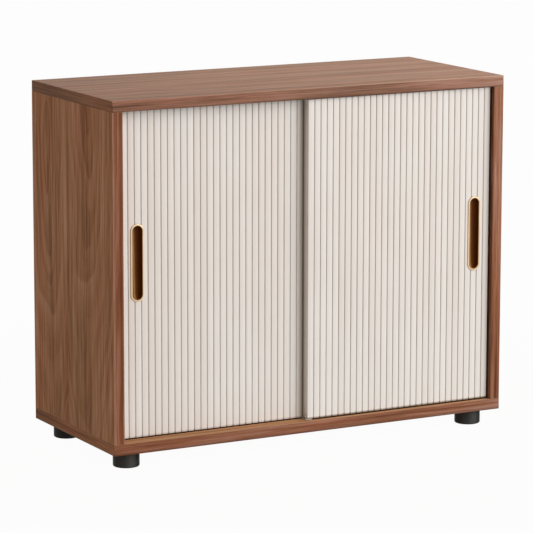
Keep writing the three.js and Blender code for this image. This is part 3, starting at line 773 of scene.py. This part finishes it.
def new_piece(name, mesh, finish, body, stands_for):
    """Shows a finer mesh in place of a node's solid."""
    piece = show(name, mesh)
    piece.data.materials.append(finish)
    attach(piece, body)
    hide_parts(stands_for)
    return piece


def mesh_of(name, shell):
    """Makes a mesh of a shell, smooth but for its sharper edges."""
    bmesh.ops.recalc_face_normals(shell, faces=shell.faces)
    for face in shell.faces:
        face.smooth = True
    for edge in shell.edges:
        if len(edge.link_faces) == 2 and edge.calc_face_angle() > SMOOTH_ANGLE:
            edge.smooth = False
    mesh = bpy.data.meshes.new(name)
    shell.to_mesh(mesh)
    shell.free()
    return mesh


def shell_of(loops, hoop=False):
    """A shell over loops of places. A hoop's last loop joins its first one, and any other shell is
    capped at both."""
    shell = bmesh.new()
    loops = [[shell.verts.new(place) for place in loop] for loop in loops]
    for near, far in zip(loops, loops[1:] + loops[:1] if hoop else loops[1:]):
        for step in range(len(near)):
            ahead = (step + 1) % len(near)
            shell.faces.new((near[step], near[ahead], far[ahead], far[step]))
    if not hoop:
        shell.faces.new(loops[0][::-1])
        shell.faces.new(loops[-1])
    return shell


def pill(width, height, steps):
    """Points round an upright pill, each with its outward direction. A circle has width = height."""
    radius = width / 2
    straight = height / 2 - radius
    points = []
    for middle, start in ((straight, 0.0), (-straight, math.pi)):
        for step in range(steps + 1):
            angle = start + math.pi * step / steps
            out = Vector((math.cos(angle), math.sin(angle)))
            points.append((Vector((0.0, middle)) + out * radius, out))
    if straight < NO_LENGTH:
        return points[:steps] + points[steps + 1:-1]
    return points


def ringed(name, outline, rings, stand, hoop):
    """A solid of rings round an outline. Each ring is an inset from the outline and a level, and
    stand turns a point of the outline and a level into a place."""
    loops = [[stand(point - out * inset, level) for point, out in outline] for inset, level in rings]
    return mesh_of(name, shell_of(loops, hoop))


def quarter(centre, radius, start, steps):
    """Points of a quarter turn round a centre, from a start angle in degrees."""
    points = []
    for step in range(steps + 1):
        angle = math.radians(start + 90 * step / steps)
        points.append((centre[0] + radius * math.cos(angle), centre[1] + radius * math.sin(angle)))
    return points


def prism(points, low, high):
    """An upright column over a closed outline of x and y, as a shell."""
    return shell_of([[(x, y, level) for x, y in points] for level in (low, high)])


def slab(low, high):
    """A plain block between two corners, as a shell."""
    corners = [(low[0], low[1]), (high[0], low[1]), (high[0], high[1]), (low[0], high[1])]
    return prism(corners, low[2], high[2])


def facing(middle, face=0.0):
    """Stands an outline upright round a middle; levels go back from the face."""
    def stand(point, level):
        return (middle.x + point.x, face + level, middle.z + point.y)
    return stand


def pill_tool(box, room, front, back):
    """A pill's shell, with some room round the box that it is for, from front to back."""
    low, high = box
    outline = pill(high.x - low.x + 2 * room, high.z - low.z + 2 * room, PILL_STEPS)
    stand = facing((low + high) / 2)
    return shell_of([[stand(point, level) for point, out in outline] for level in (front, back)])


def cut_away(mesh, tools):
    """The mesh less its tools, with what is left of it as a new shell."""
    body = show("panel_blank", mesh)
    helpers = [show("tool", mesh_of("tool", shell)) for shell in tools]
    for helper in helpers:
        cutting = body.modifiers.new("cut", "BOOLEAN")
        cutting.operation = "DIFFERENCE"
        cutting.solver = "EXACT"
        cutting.object = helper
    graph = bpy.context.evaluated_depsgraph_get()
    result = bmesh.new()
    result.from_mesh(body.evaluated_get(graph).to_mesh())
    for helper in helpers + [body]:
        data = helper.data
        bpy.data.objects.remove(helper)
        bpy.data.meshes.remove(data)
    return result


# The doors

# The slats, whose arrises are rounded, and the flutes between them
NARROWEST_SLAT = 5 * MM
FLUTE_WIDTH = 1.8 * MM
FLUTE_FLOOR = 1.0 * MM
FLUTE_DEPTH = 1.8 * MM
SLAT_ARRIS = 0.9 * MM
SLAT_ARRIS_STEPS = 4

# What is cut out of a door: the finger recess, the lower groove and the hangers' keyed seats
CUT_OVERRUN = 5 * MM
GUIDE_GROOVE_WIDTH = 4.6 * MM
GUIDE_GROOVE_RISE = 8 * MM
HANGER_NECK_WIDTH = 16.4 * MM
HANGER_BODY_RISE = 22 * MM
HANGER_FIT = 0.2 * MM
FIN_THICKNESS = 3 * MM
CUP_FIT = 0.3 * MM


def flute_middles(side, low, high):
    """Where a door's flutes are along it, from the left."""
    width = SLAT_WIDTHS[side]
    count = int((high.x - low.x - NARROWEST_SLAT) / width)
    if side == "left":
        return [high.x - width * flute for flute in range(count, 0, -1)]
    return [low.x + width * flute for flute in range(1, count + 1)]


def slatted_outline(side, low, high):
    """The door seen from above: rounded slats in front with flutes between them, and a flat back."""
    front = low.y
    flutes = flute_middles(side, low, high)
    lefts = [low.x] + [middle + FLUTE_WIDTH / 2 for middle in flutes]
    rights = [middle - FLUTE_WIDTH / 2 for middle in flutes] + [high.x]
    points = []
    for left, right in zip(lefts, rights):
        for middle, start in ((left + SLAT_ARRIS, 180), (right - SLAT_ARRIS, 270)):
            points += quarter((middle, front + SLAT_ARRIS), SLAT_ARRIS, start, SLAT_ARRIS_STEPS)
        if right < high.x:
            middle = right + FLUTE_WIDTH / 2
            points.append((middle - FLUTE_FLOOR / 2, front + FLUTE_DEPTH))
            points.append((middle + FLUTE_FLOOR / 2, front + FLUTE_DEPTH))
    points += [(high.x, high.y), (low.x, high.y)]
    return points


def hanger_seat(side, end, front, door_high):
    """The two shells that cut a hanger's seat: one for its body, and one for its neck over that."""
    low, high, middle = measure(f"{side}_door_hanger_{end}")
    back = door_high.y + CUT_OVERRUN
    shoulder = low.z + HANGER_BODY_RISE + HANGER_FIT
    body = slab((low.x - HANGER_FIT, front, low.z - HANGER_FIT), (high.x + HANGER_FIT, back, shoulder))
    neck = slab((middle.x - HANGER_NECK_WIDTH / 2, front, shoulder - HANGER_FIT),
                (middle.x + HANGER_NECK_WIDTH / 2, back, door_high.z + CUT_OVERRUN))
    return [body, neck]


def door_panel(side, finish):
    node = f"{side}_door_panel"
    low, high, middle = measure(node)
    blank = mesh_of("panel_blank", prism(slatted_outline(side, low, high), low.z, high.z))
    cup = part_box(f"{side}_door_handle_cup")
    recess = pill_tool(cup, CUP_FIT, low.y - CUT_OVERRUN, cup[1].y + CUP_FIT)
    half = GUIDE_GROOVE_WIDTH / 2
    groove = slab((low.x - CUT_OVERRUN, middle.y - half, low.z - CUT_OVERRUN),
                  (high.x + CUT_OVERRUN, middle.y + half, low.z + GUIDE_GROOVE_RISE))
    tools = [recess, groove]
    for end in SIDES:
        tools += hanger_seat(side, end, middle.y - FIN_THICKNESS / 2, high)
    mesh = mesh_of(f"{side}_slatted_door", cut_away(blank, tools))
    return new_piece(f"{side}_slatted_door", mesh, finish, f"{side}_door", node)


# The finger recesses

# The rim in section: its foot, the inset and the level of its shoulder, the end of its slope, and
# the round of its inner edge
RIM_FOOT = 0.2 * MM
RIM_SHOULDER = (0.55 * MM, 0.3 * MM)
RIM_SLOPE = 1.1 * MM
RIM_ROUND = 0.9 * MM
RIM_ROUND_STEPS = 5

# The cup in section: its depth inside, its wall, its outer corner and its inner trough, and how far
# its innermost ring stays from its middle line
CUP_DEPTH = 11 * MM
CUP_WALL = 1.2 * MM
CUP_CORNER = 3 * MM
CUP_CORNER_STEPS = 5
CUP_TROUGH = 8.6 * MM
CUP_TROUGH_STEPS = 10
CUP_HEART = 0.5 * MM


def handle_rim(side, finish):
    """A hoop that slopes up from the slats and rounds over into the recess."""
    node = f"{side}_door_handle_rim"
    low, high, middle = measure(node)
    outline = pill(high.x - low.x, high.z - low.z, PILL_STEPS)
    thickness = high.y - low.y
    flat_end = RIM_WIDTH - RIM_ROUND
    rings = [(0.0, thickness), (0.0, thickness - RIM_FOOT), RIM_SHOULDER, (RIM_SLOPE, 0.0)]
    rings += quarter((flat_end, RIM_ROUND), RIM_ROUND, 270, RIM_ROUND_STEPS)
    rings.append((RIM_WIDTH, thickness))
    mesh = ringed(f"{side}_brass_rim", outline, rings, facing(middle, low.y), hoop=True)
    return new_piece(f"{side}_brass_rim", mesh, finish, f"{side}_door", node)


def handle_cup(side, finish):
    """A pressed cup: a round trough inside, and a round corner outside."""
    node = f"{side}_door_handle_cup"
    low, high, middle = measure(node)
    outline = pill(high.x - low.x, high.z - low.z, PILL_STEPS)
    depth = high.y - low.y
    heart = (high.x - low.x) / 2 - CUP_HEART
    outer = quarter((CUP_CORNER, depth - CUP_CORNER), CUP_CORNER, 90, CUP_CORNER_STEPS)[::-1]
    inner = quarter((CUP_WALL + CUP_TROUGH, CUP_DEPTH - CUP_TROUGH), CUP_TROUGH, 90, CUP_TROUGH_STEPS)
    rings = [(heart, CUP_DEPTH)] + inner + [(CUP_WALL, 0.0), (0.0, 0.0)] + outer + [(heart, depth)]
    mesh = ringed(f"{side}_finger_cup", outline, rings, facing(middle, low.y), hoop=False)
    return new_piece(f"{side}_finger_cup", mesh, finish, f"{side}_door", node)


# The feet

# A foot in section: its lower and its upper rounded edge, the radius and the rise of its recess, and
# the radius of its bore
FOOT_STEPS = 72
FOOT_EDGE = 2.5 * MM
FOOT_EDGE_STEPS = 6
FOOT_HEAD_EDGE = 0.8 * MM
FOOT_HEAD_STEPS = 3
FOOT_RECESS = 8 * MM
FOOT_RECESS_RISE = 12 * MM
FOOT_BORE = 2.6 * MM


def foot(end, side, finish):
    """A turned foot with a bore for its screw, which widens into a recess in the sole."""
    node = f"foot_{end}_{side}"
    low, high, middle = measure(node)
    radius, height = (high.x - low.x) / 2, high.z - low.z
    outline = pill(2 * radius, 2 * radius, FOOT_STEPS // 2)
    head = (FOOT_HEAD_EDGE, height - FOOT_HEAD_EDGE)
    rings = [(radius - FOOT_BORE, height)]
    rings += quarter(head, FOOT_HEAD_EDGE, 90, FOOT_HEAD_STEPS)
    rings += quarter((FOOT_EDGE, FOOT_EDGE), FOOT_EDGE, 180, FOOT_EDGE_STEPS)
    rings += [(radius - FOOT_RECESS, 0.0), (radius - FOOT_RECESS, FOOT_RECESS_RISE),
              (radius - FOOT_BORE, FOOT_RECESS_RISE)]

    def stand(point, level):
        return (middle.x + point.x, middle.y + point.y, low.z + level)

    mesh = ringed(f"round_foot_{end}_{side}", outline, rings, stand, hoop=True)
    return new_piece(f"round_foot_{end}_{side}", mesh, finish, "case", node)


# The boards and the small pieces that keep their solids

BOARD_ARRIS = 0.9 * MM
BOARD_ARRIS_SEGMENTS = 2
BOARD_ARRIS_ANGLE = math.radians(50)
WELD_REACH = 0.002 * MM


def soften(piece):
    """Eases the arrises of a board that is shown as its solid is."""
    weld = piece.modifiers.new("weld", "WELD")
    weld.merge_threshold = WELD_REACH
    ease = piece.modifiers.new("ease", "BEVEL")
    ease.limit_method = "ANGLE"
    ease.angle_limit = BOARD_ARRIS_ANGLE
    ease.width = BOARD_ARRIS
    ease.segments = BOARD_ARRIS_SEGMENTS


def finish_nodes(nodes, finishes):
    """Gives every solid of the frame the finish of its slot, or its own where it has one."""
    for name, piece in nodes.items():
        slot = piece.data.materials[0].name.split(".")[0]
        finish = finishes.get(name) or finishes.get(slot)
        piece.data.materials[0] = finish


# The studio and the camera

PLAIN_RAYS = ("Is Camera Ray", "Is Glossy Ray", "Is Transmission Ray")
WHITE = (1.0, 1.0, 1.0, 1.0)
BACKDROP = paint(253, 253, 253)
SKY_COLOUR = (1.0, 0.905, 0.80, 1.0)
SKY_LEVEL = 0.54

# The floor: its span, its paint and how much of that light it gives back, how much of it glows
# white where it is seen plainly, and between which distances it clears to the backdrop
FLOOR_SPAN = 40.0
FLOOR_PAINT = paint(249, 248, 246)
FLOOR_TONE = 0.50
FLOOR_GLOW = 0.965
FLOOR_CLEAR = (0.55, 1.5)

# The key light: its place and its aim, its two sides, its power in watts and its colour
KEY_PLACE = (3.84, -4.96, 2.35)
KEY_AIM = (0.0, 0.0, 0.35)
KEY_SIZE = (5.76, 4.8)
KEY_POWER = 355.0
KEY_COLOUR = (0.959, 0.978, 1.0)

# Where the photograph was taken from and which way, in degrees, and its focal length in pixels
EYE = (-2.69092, -4.96448, 1.35199)
YAW = 28.41
PITCH = 10.47
ROLL = 0.08
FOCUS = 3102.56
PHOTO_WIDTH = 533
SENSOR = 36.0
FURTHEST_SEEN = 100.0


def seen_plainly(studio):
    """1 for what the camera, a gloss or a clear surface sees, and 0 for light on the object."""
    path = studio.node("ShaderNodeLightPath")
    camera, gloss, clear = [Value(studio, path.outputs[ray]) for ray in PLAIN_RAYS]
    return camera.most(gloss).most(clear)


def light_sky():
    world = bpy.data.worlds.new("studio")
    bpy.context.scene.world = world
    world.use_nodes = True
    sky = Nodes(world.node_tree, "Background")
    seen = seen_plainly(sky)
    sky.wear("Color", sky.mix(seen, SKY_COLOUR, BACKDROP))
    sky.wear("Strength", SKY_LEVEL + seen * (1 - SKY_LEVEL))


def floor_finish():
    """Pale paint under a white glow, which further out gives way to the backdrop's own colour."""
    tone = [share * FLOOR_TONE for share in FLOOR_PAINT[:3]]
    stage = Finish("studio_floor", Base_Color=(*tone, 1.0), Roughness=0.9, Specular_IOR_Level=0.0)
    x, y, _ = stage.place()
    seen = seen_plainly(stage)
    far = stage.rise((x * x + y * y).root(), *FLOOR_CLEAR)
    ground = Value(stage, stage.shader.outputs[0])
    for share, colour in ((seen * FLOOR_GLOW, WHITE), (seen * far, BACKDROP)):
        glow = Value(stage, stage.node("ShaderNodeEmission", None, {"Color": colour}).outputs[0])
        blend = stage.node("ShaderNodeMixShader", None, {0: share, 1: ground, 2: glow})
        ground = Value(stage, blend.outputs[0])
    stage.feed(stage.tree.nodes["Material Output"].inputs["Surface"], ground)
    return stage.material


def lay_floor():
    """A pale floor that holds the object's shadow and clears to the backdrop further out."""
    half = FLOOR_SPAN / 2
    corners = [(-half, -half, 0), (half, -half, 0), (half, half, 0), (-half, half, 0)]
    mesh = bpy.data.meshes.new("studio_floor")
    mesh.from_pydata(corners, [], [(0, 1, 2, 3)])
    mesh.materials.append(floor_finish())
    floor = show("studio_floor", mesh)


def hang_key_light():
    """A large soft lamp to the right front, which the camera doesn't see."""
    lamp = bpy.data.lights.new("key", "AREA")
    lamp.shape = "RECTANGLE"
    lamp.size, lamp.size_y = KEY_SIZE
    lamp.energy = KEY_POWER
    lamp.color = KEY_COLOUR
    holder = show("key", lamp)
    holder.location = KEY_PLACE
    holder.rotation_euler = (Vector(KEY_AIM) - Vector(KEY_PLACE)).to_track_quat("-Z", "Y").to_euler()
    holder.visible_camera = False


def place_camera():
    """Stands where the photograph was taken from."""
    yaw, pitch, roll = (math.radians(angle) for angle in (YAW, PITCH, ROLL))
    flat_ahead = Vector((math.sin(yaw), math.cos(yaw), 0.0))
    ahead = flat_ahead * math.cos(pitch) - Vector((0.0, 0.0, math.sin(pitch)))
    level = Vector((math.cos(yaw), -math.sin(yaw), 0.0))
    upright = level.cross(ahead)
    right = level * math.cos(roll) + upright * math.sin(roll)
    up = upright * math.cos(roll) - level * math.sin(roll)
    lens = bpy.data.cameras.new("camera")
    lens.sensor_width = SENSOR
    lens.lens = FOCUS / PHOTO_WIDTH * SENSOR
    lens.clip_end = FURTHEST_SEEN
    camera = show("camera", lens)
    turn = Matrix((right, up, -ahead)).transposed().to_4x4()
    camera.matrix_world = Matrix.Translation(EYE) @ turn
    bpy.context.scene.camera = camera


ALUMINIUM_TONES = (paint(160, 163, 166), paint(185, 187, 189), paint(204, 206, 208))
ZINC_TONES = (paint(140, 142, 146), paint(169, 171, 173), paint(196, 197, 198))
HANGER_TONES = (paint(122, 124, 126), paint(139, 141, 142), paint(152, 154, 155))
ACETAL_TONES = (paint(220, 218, 211), paint(230, 228, 222), paint(238, 236, 231))
RUBBER_TONES = (paint(44, 42, 39), paint(53, 51, 47), paint(64, 61, 57))


def mix_finishes():
    """Every finish, by the slot or by the node that wears it."""
    finishes = {
        "walnut_lining": walnut_lining("walnut_lining", grain="z", seed=5.0),
        "aluminium": bare_metal("drawn_aluminium", ALUMINIUM_TONES, roughness=0.38),
        "steel": bare_metal("zinc_plated_steel", ZINC_TONES, roughness=0.30),
        "foot_plastic": black_foot("black_foot_plastic"),
        "hanger_plastic": moulded("grey_hanger_plastic", HANGER_TONES, roughness=0.45,
                                  grain_depth=0.05 * MM),
        "acetal": moulded("white_acetal", ACETAL_TONES, roughness=0.32, grain_depth=0.02 * MM),
        "rubber": moulded("buffer_rubber", RUBBER_TONES, roughness=0.72, grain_depth=0.08 * MM),
        "beech": beech("dowel_beech"),
    }
    for board in VENEERS:
        finishes[board] = walnut(board)
    shelf_lining = walnut_lining("walnut_shelf_lining", grain="x", seed=9.0)
    for side in SIDES:
        finishes[f"{side}_shelf"] = shelf_lining
        finishes[f"{side}_door_panel"] = cream_lacquer(side)
        finishes[f"{side}_door_handle_rim"] = brass(side)
        finishes[f"{side}_door_handle_cup"] = bronze(side)
    return finishes


def main():
    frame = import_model()
    nodes = frame["nodes"]

    finishes = mix_finishes()
    finish_nodes(nodes, finishes)
    for board in VENEERS:
        soften(nodes[board])
    for side in SIDES:
        door_panel(side, finishes[f"{side}_door_panel"])
        handle_rim(side, finishes[f"{side}_door_handle_rim"])
        handle_cup(side, finishes[f"{side}_door_handle_cup"])
        for end in ENDS:
            foot(end, side, finishes["foot_plastic"])

    light_sky()
    lay_floor()
    hang_key_light()
    place_camera()
    bpy.context.scene.view_settings.view_transform = "Standard"


main()
